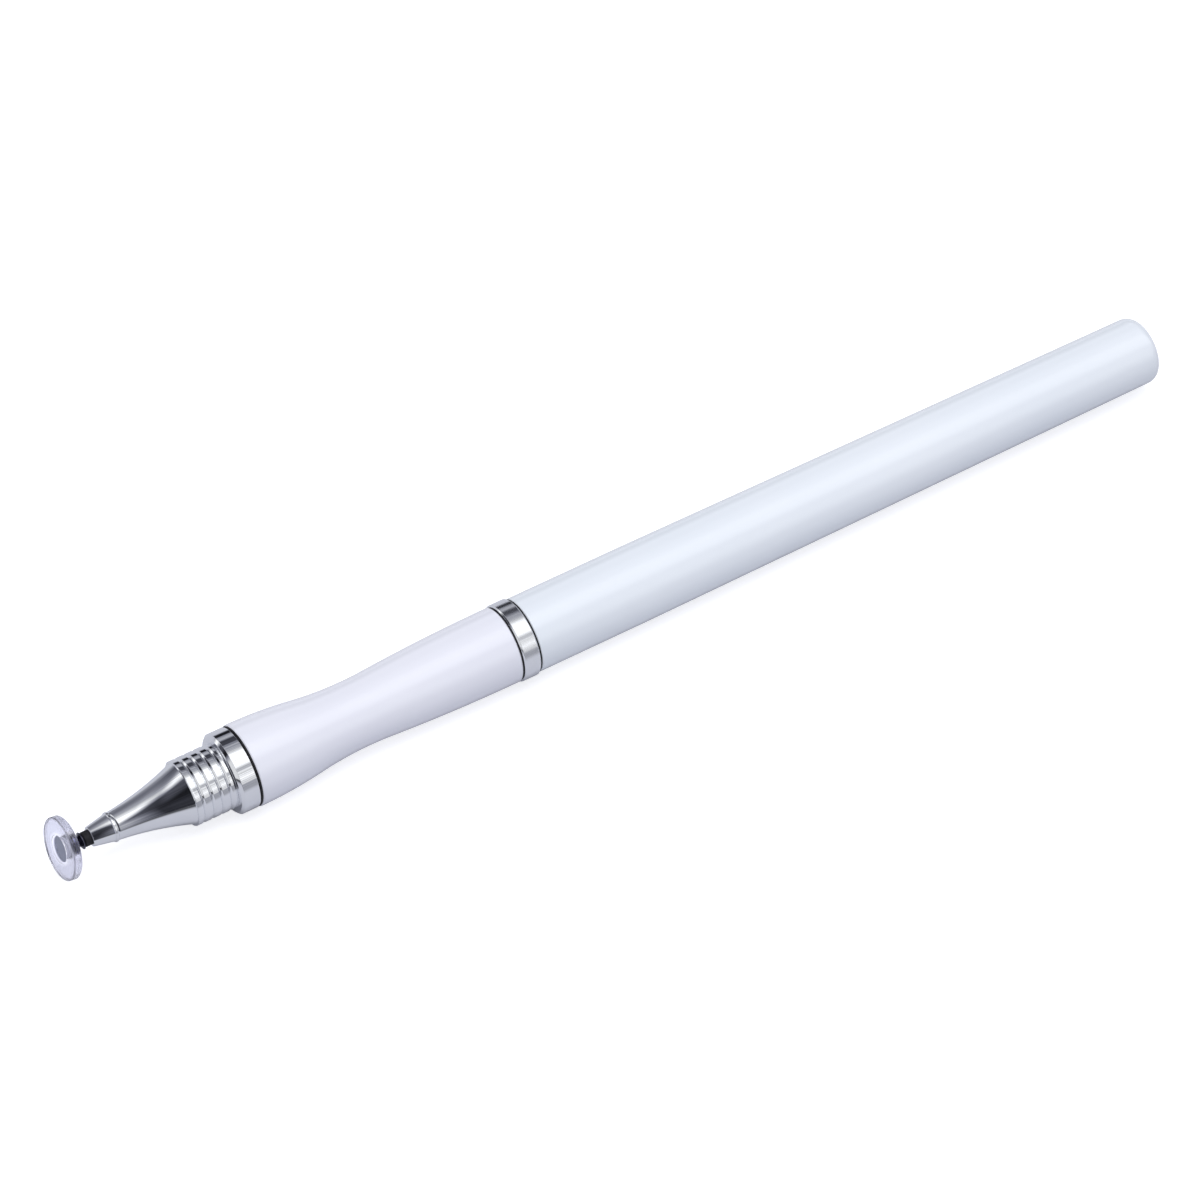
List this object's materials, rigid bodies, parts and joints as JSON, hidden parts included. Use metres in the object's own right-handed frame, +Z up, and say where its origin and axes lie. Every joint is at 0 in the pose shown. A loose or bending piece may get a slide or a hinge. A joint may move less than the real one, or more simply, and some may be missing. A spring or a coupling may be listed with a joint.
{
  "type": "stylus pen",
  "caption": "Capacitive touch stylus pen with a clear swivelling disc tip on a ball joint, a grooved chrome nose, a waisted white grip and a tapered white barrel.",
  "frame": {"origin": "on the surface the pen lies on, under the middle of its length", "axes": "+X runs along the pen from the touch disc to the barrel's end, +Z is up from the surface, and +Y completes the right-handed frame"},
  "size_m": [0.1366, 0.0094, 0.0093],
  "materials": {
    "clear_plastic": "clear moulded plastic, polished",
    "dark_metal": "dark nickel plated metal",
    "pin_steel": "turned steel",
    "black_rubber": "matt black",
    "chrome": "bright chrome plate",
    "brass": "turned brass",
    "white_lacquer": "glossy cool white lacquer on aluminium",
    "white_plastic": "glossy cool white moulded plastic"
  },
  "bodies": {
    "handle": {"grip_tube": "white_lacquer", "front_insert": "brass", "nose_cone": "chrome", "nose_collar": "chrome", "collar_seal": "black_rubber", "centre_connector": "brass", "ring_seal_front": "black_rubber", "centre_ring": "chrome", "ring_seal_rear": "black_rubber"},
    "tip": {"tip_ferrule": "chrome", "stem_bush": "black_rubber"},
    "pin": {"ball_pin": "pin_steel", "pin_clip": "pin_steel"},
    "disc": {"touch_disc": "clear_plastic", "socket_cup": "dark_metal"},
    "barrel": {"barrel_tube": "white_lacquer", "barrel_insert": "brass", "end_plug": "white_plastic"}
  },
  "joints": [
    {"name": "tip_unscrew", "type": "slide", "parent": "handle", "child": "tip", "axis": [-1, 0, 0], "range_m": [0, 0.006]},
    {"name": "pin_turn", "type": "hinge", "parent": "tip", "child": "pin", "pos_m": [-0.06412, 0, 0.00465], "axis": [1, 0, 0], "continuous": true},
    {"name": "disc_tilt", "type": "hinge", "parent": "pin", "child": "disc", "pos_m": [-0.06625, 0, 0.00465], "axis": [0, 1, 0], "range_deg": [-45.5, 24.5]},
    {"name": "barrel_unscrew", "type": "slide", "parent": "handle", "child": "barrel", "axis": [1, 0, 0], "range_m": [0, 0.01]}
  ]
}
